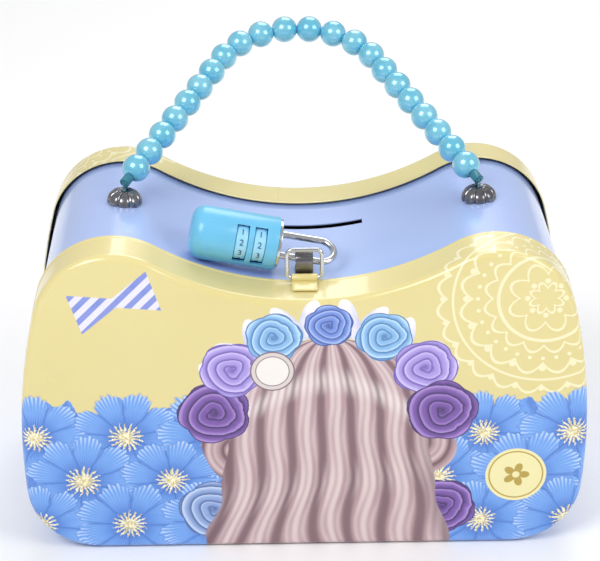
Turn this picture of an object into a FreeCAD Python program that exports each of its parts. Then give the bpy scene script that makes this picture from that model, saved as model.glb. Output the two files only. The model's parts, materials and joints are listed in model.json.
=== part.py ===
import FreeCAD, Part
import math
import os

# Tin money box: a double-humped blue band between two shallow printed trays.
# X is the width, -Y the front, +Z up. The origin is on the floor, midway between the lid's
# face and the back of the handle as it rests.

SIZES = {
    "case_width": 165.0,
    "case_depth": 79.2,
    "hump_top": 97.5,
    "hump_radius": 22.94,
    "hump_inset": 28.25,
    "base_radius": 21.0,
    "side_radius": 185.9,
    "dip_radius": 83.8,
    "tin": 0.35,
    "lip_depth": 13.3,
    "lip_gap": 1.05,
    "face_radius": 2.4,
    "lid_clearance": 3.0,
    "seam_gap": 0.35,
    "slot_long": 37.0,
    "slot_wide": 3.0,
    "slot_back": 11.5,
    "knuckle_wide": 1.7,
    "pin_wide": 1.0,
    "pin_fit": 0.05,
    "band_lift": 0.2,
    "leaf_thick": 0.4,
    "leaf_deep": 9.0,
    "hinge_long": 110.0,
    "hinge_parts": 11,
    "hinge_behind": 0.3,
    "knuckle_gap": 0.3,
    "lock_wide": 15.6,
    "lock_long": 26.0,
    "lock_slope": 11.0,
    "lock_above": 0.9,
    "lock_right": 7.0,
    "lock_back": 18.9,
    "leg_apart": 8.4,
    "leg_tilt": 20.0,
    "wire": 2.0,
    "shackle_reach": 17.0,
    "shackle_pull": 4.0,
    "dial_wide": 10.2,
    "dial_thick": 3.3,
    "dial_first": 6.2,
    "dial_pitch": 5.2,
    "dial_offset": 2.8,
    "dial_turn": 150.0,
    "dial_room": 0.35,
    "spindle": 2.4,
    "end_cap": 0.85,
    "hook_wide": 5.0,
    "hook_tin": 0.9,
    "hook_room": 0.85,
    "bail_wire": 1.2,
    "bail_width": 10.0,
    "bail_tall": 8.5,
    "bail_lean": 5.0,
    "bail_ahead": 1.2,
    "tab_roll": 2.4,
    "tab_wide": 7.2,
    "tab_deep": 6.0,
    "cap_inset": 2.05,
    "cap_wide": 10.3,
    "cap_tall": 3.6,
    "cap_tin": 0.4,
    "cord": 1.2,
    "cord_room": 0.4,
    "bead_wide": 8.2,
    "bead_gap": 0.6,
    "beads_each_side": 11,
    "bead_start": 7.4,
    "handle_lean": 69.0,
    "handle_rise": 68.5,
    "handle_crown": 27.0,
    "neck_long": 2.8,
    "neck_wide": 3.0,
    "neck_above": 1.8,
}

doc = FreeCAD.newDocument("money_box")
sheet = doc.addObject("Spreadsheet::Sheet", "sizes")
for row, (name, number) in enumerate(SIZES.items(), start=1):
    sheet.set(f"A{row}", name)
    sheet.set(f"B{row}", str(number))
    sheet.setAlias(f"B{row}", name)
doc.recompute()

V = FreeCAD.Vector
parts = []


def size(name):
    """A driving size, read from the sheet."""
    return float(sheet.get(name))


def bind(obj, **sizes):
    """Bind properties of an object to expressions on the sheet's cells."""
    for prop, text in sizes.items():
        obj.setExpression(prop, expression(text))
    return obj


def expression(text):
    """The same expression with every alias written as a cell of the sheet."""
    for name in sorted(SIZES, key=len, reverse=True):
        text = text.replace(f"<{name}>", f"sizes.{name}")
    return text


def place(obj, at, turn=None):
    obj.Placement = FreeCAD.Placement(V(*at), turn or FreeCAD.Rotation())
    return obj


def primitive(kind, at=(0, 0, 0), turn=None, **sizes):
    """A Part primitive whose sizes are bound to the sheet."""
    return place(bind(doc.addObject(f"Part::{kind}", kind), **sizes), at, turn)


def shaped(shape):
    """A feature for a form that no primitive gives."""
    obj = doc.addObject("Part::Feature", "Form")
    obj.Shape = shape
    return obj


def fuse(*pieces):
    obj = doc.addObject("Part::MultiFuse", "Fuse")
    obj.Shapes = list(pieces)
    return obj


def cut(base, *tools):
    """The base with every tool taken away."""
    for tool in tools:
        obj = doc.addObject("Part::Cut", "Cut")
        obj.Base = base
        obj.Tool = tool
        base = obj
    return base


def extrude(face, along, length, at_y):
    """A flat form extruded along an axis, by a length bound to the sheet."""
    obj = doc.addObject("Part::Extrusion", "Extrude")
    obj.Base = face
    obj.Dir = V(*along)
    obj.Solid = True
    bind(obj, LengthFwd=length)
    return place(obj, (0, at_y, 0))


def name_part(obj, label):
    """Name a finished sub-part; the label is also its file's name."""
    obj.Label = label
    parts.append(obj)
    return obj


# ---- outline of the case -------------------------------------------------

HANDLE_REACH = (size("handle_rise") * math.sin(math.radians(size("handle_lean")))
                + size("bead_wide") / 2)
FRONT = -(size("case_depth") / 2 + HANDLE_REACH) / 2
BACK = FRONT + size("case_depth")
MIDDLE = FRONT + size("case_depth") / 2
ALONG_X = FreeCAD.Rotation(V(0, 1, 0), 90)
TIN = size("tin")
BAND_INSET = size("tin") + size("lip_gap")
BAND_BASE = size("knuckle_wide") + size("band_lift")


def outline_centres(inset, base):
    """Centres and radii of the arcs of the half outline, inset from the covers' outer face."""
    half = size("case_width") / 2
    hump_r = size("hump_radius") - inset
    base_r = size("base_radius") - inset
    side_r = size("side_radius") - inset
    dip_r = size("dip_radius") + inset
    hump = (half - size("hump_inset"), size("hump_top") - size("hump_radius"))
    side_x = half - size("side_radius")
    reach = size("side_radius") - size("hump_radius")
    side = (side_x, hump[1] - math.sqrt(reach ** 2 - (hump[0] - side_x) ** 2))
    low = base + base_r
    spread = math.sqrt((side_r - base_r) ** 2 - (side[1] - low) ** 2)
    corner = (side_x + spread, low)
    dip = (0.0, hump[1] + math.sqrt((dip_r + hump_r) ** 2 - hump[0] ** 2))
    return corner, base_r, side, side_r, hump, hump_r, dip, dip_r


def toward(start, end, distance):
    """The point at a distance from start towards end, in the XZ plane."""
    gap = math.hypot(end[0] - start[0], end[1] - start[1])
    return (start[0] + (end[0] - start[0]) * distance / gap,
            start[1] + (end[1] - start[1]) * distance / gap)


def middle(centre, radius, start, end):
    """The middle of an arc of under half a turn between two points."""
    between = ((start[0] + end[0]) / 2, (start[1] + end[1]) / 2)
    return toward(centre, between, radius)


def outline(inset=0.0, base=0.0):
    """The closed outline as a face in the XZ plane."""
    corner, base_r, side, side_r, hump, hump_r, dip, dip_r = outline_centres(inset, base)
    foot = (corner[0], base)
    knee = toward(side, corner, side_r)
    shoulder = toward(side, hump, side_r)
    valley = toward(hump, dip, hump_r)
    right = [(foot, middle(corner, base_r, foot, knee), knee),
             (knee, middle(side, side_r, knee, shoulder), shoulder),
             (shoulder, middle(hump, hump_r, shoulder, valley), valley)]
    left = [tuple((-x, z) for x, z in reversed(arc)) for arc in reversed(right)]
    dip_low = (0.0, dip[1] - dip_r)
    arcs = right + [(valley, dip_low, (-valley[0], valley[1]))] + left
    edges = [Part.Arc(*[V(x, 0, z) for x, z in arc]).toShape() for arc in arcs]
    edges.append(Part.LineSegment(V(-foot[0], 0, base), V(foot[0], 0, base)).toShape())
    return Part.Face(Part.Wire(edges))


def top_of(inset, x):
    """Height of the outline's top at x."""
    corner, base_r, side, side_r, hump, hump_r, dip, dip_r = outline_centres(inset, 0)
    valley = toward(hump, dip, hump_r)
    if abs(x) < valley[0]:
        return dip[1] - math.sqrt(dip_r ** 2 - x ** 2)
    return hump[1] + math.sqrt(hump_r ** 2 - (abs(x) - hump[0]) ** 2)


def plate(inset, base, length, at_y):
    """A prism along Y whose section is the case's outline, inset all round."""
    return extrude(shaped(outline(inset, base)), (0, 1, 0), length, at_y)


def rounded(solid, radius, at_y):
    """Round the edges of a plate that lie at the depth at_y."""
    doc.recompute()
    obj = doc.addObject("Part::Fillet", "Round")
    obj.Base = solid
    edges = [i for i, e in enumerate(solid.Shape.Edges, start=1)
             if abs(e.BoundBox.YMin - at_y) < 0.01 and abs(e.BoundBox.YMax - at_y) < 0.01]
    obj.Edges = [(i, radius, radius) for i in edges]
    return obj


# ---- tin shells ------------------------------------------------------------

def tray(front, outer_y, at_y):
    """A shallow printed tray; outer_y is the depth of its flat face."""
    inner_y = outer_y + (TIN if front else -TIN)
    outside = rounded(plate(0, 0, "<lip_depth>", at_y), size("face_radius"), outer_y)
    hollow = plate(TIN, TIN, "<lip_depth> - <tin>", at_y + (TIN if front else 0))
    return cut(outside, rounded(hollow, size("face_radius") - TIN, inner_y))


def make_back_cover():
    name_part(tray(False, BACK, BACK - size("lip_depth")), "back_cover")


def make_band():
    """The blue strip, bent into a loop, with the coin slot and the holes on top."""
    starts = FRONT + TIN + size("lid_clearance")
    outside = plate(BAND_INSET, BAND_BASE,
                    "<case_depth> - 2 * <tin> - <lid_clearance> - <seam_gap>", starts)
    inside = plate(BAND_INSET + TIN, BAND_BASE + TIN, "<case_depth>", FRONT)
    name_part(cut(outside, inside, coin_slot(), *cord_holes(), *rivet_shanks(FIT)), "body_band")


def coin_slot():
    low = top_of(BAND_INSET, 0) - 4
    half = (size("slot_long") - size("slot_wide")) / 2
    at_y = MIDDLE + size("slot_back")
    middle_part = primitive("Box", (-half, at_y - size("slot_wide") / 2, low),
                            Length="<slot_long> - <slot_wide>", Width="<slot_wide>", Height="12")
    ends = [primitive("Cylinder", (x, at_y, low), Radius="<slot_wide> / 2", Height="12")
            for x in (-half, half)]
    return fuse(middle_part, *ends)


# ---- lid, hinge ------------------------------------------------------------

HINGE_Y = FRONT + size("lip_depth") + size("hinge_behind")
HINGE_Z = size("knuckle_wide") / 2


def knuckles(first, extra=0.0):
    """The stretches of the hinge, every second one, as (start, length)."""
    step = size("hinge_long") / int(size("hinge_parts"))
    gap = size("knuckle_gap")
    return [(-size("hinge_long") / 2 + step * i + gap / 2 - extra, step - gap + 2 * extra)
            for i in range(first, int(size("hinge_parts")), 2)]


def knuckle_tubes(first):
    return [primitive("Cylinder", (x, HINGE_Y, HINGE_Z), ALONG_X,
                      Radius="<knuckle_wide> / 2", Height=str(long))
            for x, long in knuckles(first)]


def pin_bore():
    return primitive("Cylinder", (-size("hinge_long") / 2 - 1, HINGE_Y, HINGE_Z), ALONG_X,
                     Radius="<pin_wide> / 2 + <pin_fit>", Height="<hinge_long> + 2")


def make_lid():
    """The printed door: a tray whose bottom lip carries every second hinge knuckle."""
    wide = size("knuckle_wide")
    notches = [primitive("Box", (x, HINGE_Y - wide * 0.7, -1), Length=str(long),
                         Width="<knuckle_wide> * 2", Height="<knuckle_wide> + 1")
               for x, long in knuckles(0, size("knuckle_gap"))]
    lip = cut(tray(True, FRONT, FRONT), *notches)
    name_part(cut(fuse(lip, *knuckle_tubes(1)), pin_bore()), "front_lid")


def make_hinge():
    """The leaf under the band with the other knuckles, and the pin."""
    thick = size("leaf_thick")
    low = BAND_BASE - thick
    clear = size("knuckle_wide") / 2 + 0.4
    leaf = primitive("Box", (-size("hinge_long") / 2, HINGE_Y + clear, low),
                     Length="<hinge_long>", Width="<leaf_deep>", Height="<leaf_thick>")
    tabs = [primitive("Box", (x, HINGE_Y, low), Length=str(long), Width=str(clear + 1),
                      Height="<leaf_thick>") for x, long in knuckles(0)]
    name_part(cut(fuse(leaf, *tabs, *knuckle_tubes(0)), pin_bore()), "hinge_leaf")
    name_part(primitive("Cylinder", (-size("hinge_long") / 2, HINGE_Y, HINGE_Z), ALONG_X,
                        Radius="<pin_wide> / 2", Height="<hinge_long>"), "hinge_pin")


# ---- padlock ---------------------------------------------------------------

LOCK_R = size("lock_wide") / 2
SLOPE = math.radians(size("lock_slope"))
LOCK_AT = V(-size("lock_right"), MIDDLE - size("lock_back"),
            top_of(BAND_INSET, size("lock_right")) + LOCK_R / math.cos(SLOPE) + size("lock_above"))
LOCK_TURN = FreeCAD.Rotation(V(0, 1, 0), size("lock_slope")).multiply(
    FreeCAD.Rotation(V(1, 0, 0), size("leg_tilt")))
LEG = size("leg_apart") / 2
LEG_LOCAL = LOCK_TURN.multVec(V(0, -LEG, 0))
LEG_AT = LOCK_AT + LEG_LOCAL
LEG_Z_AT_HOOK = LEG_AT.z - (0 - LEG_AT.x) * math.tan(SLOPE)
DIAL_Y = size("dial_offset") * math.cos(math.radians(size("dial_turn")))
DIAL_Z = size("dial_offset") * math.sin(math.radians(size("dial_turn")))


def in_lock(obj):
    """Move a piece from the padlock's own axes to its place; its X runs along the barrel."""
    whole = fuse_one(obj)
    whole.Placement = FreeCAD.Placement(LOCK_AT, LOCK_TURN)
    return whole


def fuse_one(obj):
    """A wrapper whose own placement moves the whole piece."""
    whole = doc.addObject("Part::Compound", "Placed")
    whole.Links = [obj]
    return whole


def rod(start, long, radius, at=(0, 0)):
    """A cylinder along the padlock's own X."""
    return primitive("Cylinder", (start, at[0], at[1]), ALONG_X, Radius=radius, Height=long)


FIT = 0.05
WIRE_FIT = 0.08
LONG_LEG = 0.85 * size("lock_long")
SPINDLE_BORE = (size("dial_first") + size("dial_pitch") + size("dial_thick")
                - size("shackle_pull"))


def make_lock_body():
    """The barrel, with a window and a chamber for each dial and a bore for each leg."""
    long = size("lock_long")
    barrel = rod(-long, f"<lock_long> - <end_cap> - {FIT}", "<lock_wide> / 2")
    doc.recompute()
    soft = doc.addObject("Part::Fillet", "Round")
    soft.Base = barrel
    soft.Edges = [(i, LOCK_R * 0.5, LOCK_R * 0.5) for i, e in enumerate(barrel.Shape.Edges, 1)
                  if e.BoundBox.XMax < -long + 0.01]
    tools = [rod(-LONG_LEG, "<lock_long>", f"<wire> / 2 + {WIRE_FIT}", (LEG, 0)),
             rod(-size("shackle_pull"), "<lock_long>", f"<wire> / 2 + {WIRE_FIT}", (-LEG, 0)),
             rod(-last_dial() - size("dial_thick"), str(SPINDLE_BORE),
                 f"<spindle> / 2 + {FIT}", (DIAL_Y, DIAL_Z))]
    for x in dial_places():
        tools += dial_space(x)
    name_part(in_lock(cut(soft, *tools)), "lock_body")


def dial_places():
    return [-size("dial_first"), -size("dial_first") - size("dial_pitch")]


def last_dial():
    return size("dial_first") + size("dial_pitch")


def dial_space(x):
    """The chamber of a dial and its window in the barrel's front."""
    wide = size("dial_thick") + 0.3
    chamber = rod(x - wide / 2, str(wide), "<dial_wide> / 2 + <dial_room>", (DIAL_Y, DIAL_Z))
    turn = FreeCAD.Rotation(V(1, 0, 0), size("dial_turn"))
    corner = turn.multVec(V(x - wide / 2, LOCK_R * 0.56, -LOCK_R * 0.7))
    window = primitive("Box", corner, turn, Length=str(wide), Width="<lock_wide> / 2",
                       Height="<lock_wide> * 0.7")
    return [chamber, window]


def make_lock_inside():
    """Dials, spindle and end cap."""
    for number, x in enumerate(dial_places(), start=1):
        wheel = rod(x - size("dial_thick") / 2, "<dial_thick>", "<dial_wide> / 2",
                    (DIAL_Y, DIAL_Z))
        bore = rod(x - size("dial_thick"), "<dial_thick> * 2", f"<spindle> / 2 + {FIT}",
                   (DIAL_Y, DIAL_Z))
        name_part(in_lock(cut(wheel, bore)), f"lock_dial_{number}")
    end = -last_dial() - size("dial_thick") + 0.2
    name_part(in_lock(rod(end, str(-end - size("shackle_pull") - 0.2), "<spindle> / 2",
                          (DIAL_Y, DIAL_Z))), "lock_spindle")
    cap = rod(-size("end_cap"), "<end_cap>", "<lock_wide> / 2 - 0.4")
    holes = [rod(-2, "4", f"<wire> / 2 + {WIRE_FIT}", (y, 0)) for y in (-LEG, LEG)]
    name_part(in_lock(cut(cap, *holes)), "lock_end_cap")


def tube(edges, radius):
    """A round wire swept along a run of edges."""
    path = Part.Wire(edges)
    start = path.OrderedEdges[0]
    point = start.valueAt(start.FirstParameter)
    way = start.tangentAt(start.FirstParameter)
    ring = Part.Wire(Part.makeCircle(radius, point, way))
    return path.makePipeShell([ring], True, False)


def make_shackle():
    """The steel loop: a long leg behind and a short one in front."""
    turn_x = size("shackle_reach") - size("wire") / 2 - LEG
    long_end = -LONG_LEG + 0.4
    short_end = -size("shackle_pull") + 0.2
    edges = [Part.LineSegment(V(long_end, LEG, 0), V(turn_x, LEG, 0)).toShape(),
             Part.Arc(V(turn_x, LEG, 0), V(turn_x + LEG, 0, 0), V(turn_x, -LEG, 0)).toShape(),
             Part.LineSegment(V(turn_x, -LEG, 0), V(short_end, -LEG, 0)).toShape()]
    name_part(in_lock(shaped(tube(edges, size("wire") / 2))), "lock_shackle")


# ---- hook, rivets, bail ------------------------------------------------------

HOOK_IN = size("wire") / 2 + size("hook_room")
HOOK_OUT = HOOK_IN + size("hook_tin")
HOOK_FOOT = 10.0
HOOK_LIFT = 0.03
RIVET_R = 0.7
RIVET_HEAD_R = 1.26
RIVET_HEAD = 0.6
RIVET_FIRST = 1.4
RIVET_PITCH = 4.2
BACKING_LONG = 8.0
BACKING_DEEP = 10.2
BACKING_THICK = 0.8


def rivet_places():
    first = LEG_AT.y + RIVET_FIRST
    return [first, first + RIVET_PITCH]


def rivet_shanks(room=0.0):
    low = top_of(BAND_INSET, 0) - 3
    return [primitive("Cylinder", (0, y, low), Radius=str(RIVET_R + room), Height="6")
            for y in rivet_places()]


def make_hook():
    """A strap riveted to the band that rises in front and curls back over the shackle's leg."""
    top = top_of(BAND_INSET, size("hook_wide") / 2) + HOOK_LIFT
    half = size("hook_wide") / 2
    curl = cut(primitive("Cylinder", (-half, LEG_AT.y, LEG_Z_AT_HOOK), ALONG_X,
                         Radius=str(HOOK_OUT), Height="<hook_wide>"),
               primitive("Cylinder", (-half - 1, LEG_AT.y, LEG_Z_AT_HOOK), ALONG_X,
                         Radius=str(HOOK_IN), Height="<hook_wide> + 2"),
               primitive("Box", (-half - 1, LEG_AT.y, LEG_Z_AT_HOOK - 1.6 * HOOK_OUT),
                         Length="<hook_wide> + 2", Width=str(2 * HOOK_OUT),
                         Height=str(HOOK_OUT)),
               primitive("Box", (-half - 1, LEG_AT.y - HOOK_OUT * 0.8,
                                 LEG_Z_AT_HOOK - 2 * HOOK_OUT),
                         Length="<hook_wide> + 2", Width=str(2 * HOOK_OUT),
                         Height=str(2 * HOOK_OUT - HOOK_IN * 0.4)))
    stem = primitive("Box", (-half, LEG_AT.y - HOOK_OUT, top), Length="<hook_wide>",
                     Width="<hook_tin>", Height=str(LEG_Z_AT_HOOK - top))
    foot = primitive("Box", (-half, LEG_AT.y - HOOK_OUT, top), Length="<hook_wide>",
                     Width=str(HOOK_FOOT), Height="<hook_tin>")
    name_part(cut(fuse(curl, stem, foot), *rivet_shanks(FIT)), "latch_hook")


def make_rivets():
    """Two rivets and the plate inside the band that they clench."""
    foot_top = top_of(BAND_INSET, size("hook_wide") / 2) + size("hook_tin") + HOOK_LIFT
    plate_top = top_of(BAND_INSET + TIN, 0) - 0.02
    solids = []
    for y in rivet_places():
        low = plate_top - BACKING_THICK
        shank = primitive("Cylinder", (0, y, low), Radius=str(RIVET_R),
                          Height=str(foot_top - low))
        head = primitive("Cylinder", (0, y, foot_top), Radius=str(RIVET_HEAD_R),
                         Height=str(RIVET_HEAD))
        tail = primitive("Cylinder", (0, y, low - RIVET_HEAD), Radius=str(RIVET_HEAD_R),
                         Height=str(RIVET_HEAD))
        solids.append(fuse(shank, head, tail))
    both = doc.addObject("Part::Compound", "Rivets")
    both.Links = solids
    name_part(both, "hook_rivets")
    backing = primitive("Box", (-BACKING_LONG / 2, (sum(rivet_places()) - BACKING_DEEP) / 2,
                                plate_top - BACKING_THICK), Length=str(BACKING_LONG),
                        Width=str(BACKING_DEEP), Height=str(BACKING_THICK))
    name_part(cut(backing, *rivet_shanks(FIT)), "hook_backing_plate")


TAB_TOP = top_of(0, size("tab_wide") / 2) + 0.02
BAIL_Z = TAB_TOP + size("tab_roll") / 2
BAIL_Y = FRONT + size("lip_depth") - size("bail_ahead")
BAIL_CORNER = 1.6


def make_bail_tab():
    """The rolled tab on the lid's top lip."""
    half = size("tab_wide") / 2
    roll = primitive("Cylinder", (-half, BAIL_Y, BAIL_Z), ALONG_X, Radius="<tab_roll> / 2",
                     Height="<tab_wide>")
    tongue = primitive("Box", (-half, BAIL_Y - size("tab_deep"), TAB_TOP), Length="<tab_wide>",
                       Width="<tab_deep>", Height="0.5")
    bore = primitive("Cylinder", (-half - 1, BAIL_Y, BAIL_Z), ALONG_X,
                     Radius="<bail_wire> / 2 + 0.06", Height="<tab_wide> + 2")
    name_part(cut(fuse(roll, tongue), bore), "lid_bail_tab")


def make_bail():
    """The closed wire loop, its lower run through the tab's roll."""
    half = size("bail_width") / 2
    tall = size("bail_tall")
    r = BAIL_CORNER
    corners = [(-half, 0, 1, 1), (-half, tall, 1, -1), (half, tall, -1, -1), (half, 0, -1, 1)]
    c = r * (1 - math.sqrt(0.5))
    edges = []
    for i, (x, z, sx, sz) in enumerate(corners):
        a, b = (x, z + sz * r), (x + sx * r, z)
        start, end = (b, a) if i % 2 == 0 else (a, b)
        edges.append(Part.Arc(V(start[0], 0, start[1]), V(x + sx * c, 0, z + sz * c),
                              V(end[0], 0, end[1])).toShape())
        nx, nz, tx, tz = corners[(i + 1) % 4]
        follow = (nx, nz + tz * r) if i % 2 == 0 else (nx + tx * r, nz)
        edges.append(Part.LineSegment(V(end[0], 0, end[1]), V(follow[0], 0, follow[1])).toShape())
    loop = shaped(tube(edges[1:] + edges[:1], size("bail_wire") / 2))
    lean = FreeCAD.Rotation(V(1, 0, 0), -size("bail_lean"))
    name_part(place(loop, (0, BAIL_Y, BAIL_Z), lean), "latch_bail")


# ---- handle and its caps -----------------------------------------------------

HUMP_X = size("case_width") / 2 - size("hump_inset")
CAP_X = HUMP_X - size("cap_inset")
CAP_TILT = math.degrees(math.asin((CAP_X - HUMP_X) / (size("hump_radius") - BAND_INSET)))
CAP_Z = top_of(BAND_INSET, CAP_X)
CAP_LIFT = 0.045
PETALS = 8
PETAL_R = 0.9
PIVOT_Z = CAP_Z + size("cap_tall") + size("neck_above")
WASHER_R = 4.0
WASHER_TALL = 0.8
WASHER_BELOW = 0.45
KNOT_R = 2.1


def cord_holes():
    return [primitive("Cylinder", (side * CAP_X, MIDDLE, CAP_Z - 4), Height="8",
                      Radius="<cord> / 2 + <cord_room>") for side in (-1, 1)]


def cap_profile(radius, tall, hole):
    """A quarter dome with a hole in its middle, in the XZ plane."""
    crown = V(hole, 0, tall)
    rim = V(radius, 0, 0)
    bulge = V(radius * 0.80, 0, tall * 0.68)
    return Part.Face(Part.Wire([
        Part.Arc(rim, bulge, crown).toShape(),
        Part.LineSegment(crown, V(hole, 0, 0)).toShape(),
        Part.LineSegment(V(hole, 0, 0), rim).toShape()]))


def make_cap(side, word):
    """A domed claw cap with eight petals; its rim stands on the band's hump."""
    radius = size("cap_wide") / 2
    hole = size("cord") / 2 + size("cord_room")
    outer = cap_profile(radius, size("cap_tall"), hole).revolve(V(), V(0, 0, 1), 360)
    inner = cap_profile(radius - size("cap_tin"), size("cap_tall") - size("cap_tin"),
                        hole).revolve(V(), V(0, 0, 1), 360)
    dome = cut(shaped(outer), shaped(inner))
    petals = []
    for i in range(PETALS):
        angle = 2 * math.pi * (i + 0.5) / PETALS
        at = (radius * math.cos(angle), radius * math.sin(angle), -1)
        petals.append(primitive("Cylinder", at, Radius=str(PETAL_R), Height="2.2"))
    cap = fuse_one(cut(dome, *petals))
    place(cap, (side * CAP_X, MIDDLE, CAP_Z + CAP_LIFT),
          FreeCAD.Rotation(V(0, 1, 0), side * CAP_TILT))
    name_part(cap, f"handle_cap_{word}")


def make_anchor(side, word):
    """Inside the band: a washer, and the cord's end with its knot."""
    ring = cut(primitive("Cylinder", (0, 0, 0), Radius=str(WASHER_R),
                         Height=str(WASHER_TALL)),
               primitive("Cylinder", (0, 0, -1), Radius="<cord> / 2 + 0.1", Height="3"))
    at_z = top_of(BAND_INSET + TIN, CAP_X) - WASHER_BELOW - WASHER_TALL
    tilt = FreeCAD.Rotation(V(0, 1, 0), side * CAP_TILT)
    name_part(place(fuse_one(ring), (side * CAP_X, MIDDLE, at_z), tilt), f"cord_washer_{word}")
    stub = primitive("Cylinder", (side * CAP_X, MIDDLE, at_z - 3), Radius="<cord> / 2",
                     Height=str(CAP_Z + size("cap_tall") - at_z + 3))
    knot = primitive("Sphere", (side * CAP_X, MIDDLE, at_z - KNOT_R - 0.1),
                     Radius=str(KNOT_R))
    name_part(fuse(stub, knot), f"cord_knot_{word}")


def handle_route():
    """Crown centre, tangent point and the slope of the sides, in the handle's own plane."""
    centre = size("handle_rise") - size("handle_crown")
    reach = math.hypot(CAP_X, centre)
    slope = math.atan2(centre, CAP_X) + math.asin(size("handle_crown") / reach)
    turn = (size("handle_crown") * math.sin(slope),
            centre + size("handle_crown") * math.cos(slope))
    return centre, turn, slope


HANDLE = handle_route()
SIDE_LONG = math.hypot(CAP_X - HANDLE[1][0], HANDLE[1][1])
CROWN_LONG = size("handle_crown") * HANDLE[2]
HALF_BEADS = int(size("beads_each_side"))
PITCH = (SIDE_LONG + CROWN_LONG - size("bead_start")) / (HALF_BEADS - 0.5)
HANDLE_TURN = FreeCAD.Rotation(V(1, 0, 0), -size("handle_lean"))
HANDLE_AT = V(0, MIDDLE, PIVOT_Z)


def along_handle(way):
    """Place and slope of the cord at a length from the crown's top."""
    centre, turn, slope = HANDLE
    if way < CROWN_LONG:
        angle = way / size("handle_crown")
        return (size("handle_crown") * math.sin(angle),
                centre + size("handle_crown") * math.cos(angle), angle)
    rest = way - CROWN_LONG
    return (turn[0] + rest * math.cos(slope), turn[1] - rest * math.sin(slope), slope)


def on_handle(side, way):
    """Placement whose Z follows the cord at a length from the top, on one side."""
    x, z, slope = along_handle(way)
    turn = FreeCAD.Rotation(V(0, 1, 0), side * (90 + math.degrees(slope)))
    at = HANDLE_AT + HANDLE_TURN.multVec(V(side * x, 0, z))
    return FreeCAD.Placement(at, HANDLE_TURN.multiply(turn))


def make_beads():
    """Round beads with flat, bored ends, eleven to a side, numbered from left to right."""
    radius = size("bead_wide") / 2
    cut_at = math.degrees(math.asin(min(0.95, (PITCH - size("bead_gap")) / 2 / radius)))
    places = [(-1, i) for i in reversed(range(HALF_BEADS))] + [(1, i) for i in range(HALF_BEADS)]
    for number, (side, i) in enumerate(places, start=1):
        ball = primitive("Sphere", Radius="<bead_wide> / 2", Angle1=str(-cut_at),
                         Angle2=str(cut_at))
        bore = primitive("Cylinder", (0, 0, -radius), Radius="<cord> / 2 + <cord_room>",
                         Height="<bead_wide>")
        bead = fuse_one(cut(ball, bore))
        bead.Placement = on_handle(side, PITCH * (i + 0.5))
        name_part(bead, f"bead_{number:02d}")


def make_handle_cord():
    """The cord inside the beads, from one pivot to the other, and a neck sleeve at each end."""
    centre, turn, slope = HANDLE
    total = SIDE_LONG + CROWN_LONG
    end = along_handle(total - 0.2)
    top = centre + size("handle_crown")
    edges = [Part.LineSegment(V(-end[0], 0, end[1]), V(-turn[0], 0, turn[1])).toShape(),
             Part.Arc(V(-turn[0], 0, turn[1]), V(0, 0, top), V(turn[0], 0, turn[1])).toShape(),
             Part.LineSegment(V(turn[0], 0, turn[1]), V(end[0], 0, end[1])).toShape()]
    cord = shaped(tube(edges, size("cord") / 2))
    cord.Placement = FreeCAD.Placement(HANDLE_AT, HANDLE_TURN)
    name_part(cord, "handle_cord")
    for side, word in ((-1, "left"), (1, "right")):
        sleeve = fuse_one(cut(
            primitive("Cylinder", (0, 0, -size("neck_long") / 2), Radius="<neck_wide> / 2",
                      Height="<neck_long>"),
            primitive("Cylinder", (0, 0, -size("neck_long")), Radius="<cord> / 2 + 0.05",
                      Height="<neck_long> * 2")))
        sleeve.Placement = on_handle(side, total - 0.3 - size("neck_long") / 2)
        name_part(sleeve, f"neck_{word}")


# ---- build and write ---------------------------------------------------------

def build():
    make_band()
    make_back_cover()
    make_lid()
    make_hinge()
    make_lock_body()
    make_lock_inside()
    make_shackle()
    make_hook()
    make_rivets()
    make_bail_tab()
    make_bail()
    for side, word in ((-1, "left"), (1, "right")):
        make_cap(side, word)
        make_anchor(side, word)
    make_beads()
    make_handle_cord()


def check_and_write():
    doc.recompute()
    for obj in doc.Objects:
        if {"Invalid", "Error"} & set(obj.State):
            raise RuntimeError(f"{obj.Label} failed: {obj.State}")
    os.makedirs("parts", exist_ok=True)
    for obj in parts:
        shape = obj.Shape
        if shape.isNull() or not shape.isValid() or not shape.Solids:
            raise RuntimeError(f"{obj.Label} has no sound shape")
        shape.exportStep(f"parts/{obj.Label}.step")
        box = shape.BoundBox
        print(f"{obj.Label}: {len(shape.Solids)} solid(s), {shape.Volume:.1f} mm3, "
              f"x {box.XMin:.1f} {box.XMax:.1f} y {box.YMin:.1f} {box.YMax:.1f} "
              f"z {box.ZMin:.1f} {box.ZMax:.1f}")


build()
check_and_write()
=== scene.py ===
import json
import math

import bmesh
import bpy
from mathutils import Euler, Matrix, Vector


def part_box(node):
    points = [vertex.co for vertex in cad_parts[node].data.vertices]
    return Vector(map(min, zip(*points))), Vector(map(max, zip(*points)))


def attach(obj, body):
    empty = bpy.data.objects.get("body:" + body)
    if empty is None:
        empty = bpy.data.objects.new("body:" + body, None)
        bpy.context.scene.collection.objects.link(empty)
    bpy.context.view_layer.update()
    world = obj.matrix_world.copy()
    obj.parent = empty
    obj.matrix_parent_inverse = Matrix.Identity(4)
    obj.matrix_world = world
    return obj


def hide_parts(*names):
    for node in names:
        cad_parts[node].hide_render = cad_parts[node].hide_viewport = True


bl_info = {
    "name": "Tin money box",
    "version": (1, 0, 0),
    "blender": (4, 5, 0),
    "location": "3D View > Sidebar > Money box",
    "description": "Models a printed tin money box around its packed frame",
    "category": "Object",
}

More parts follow.
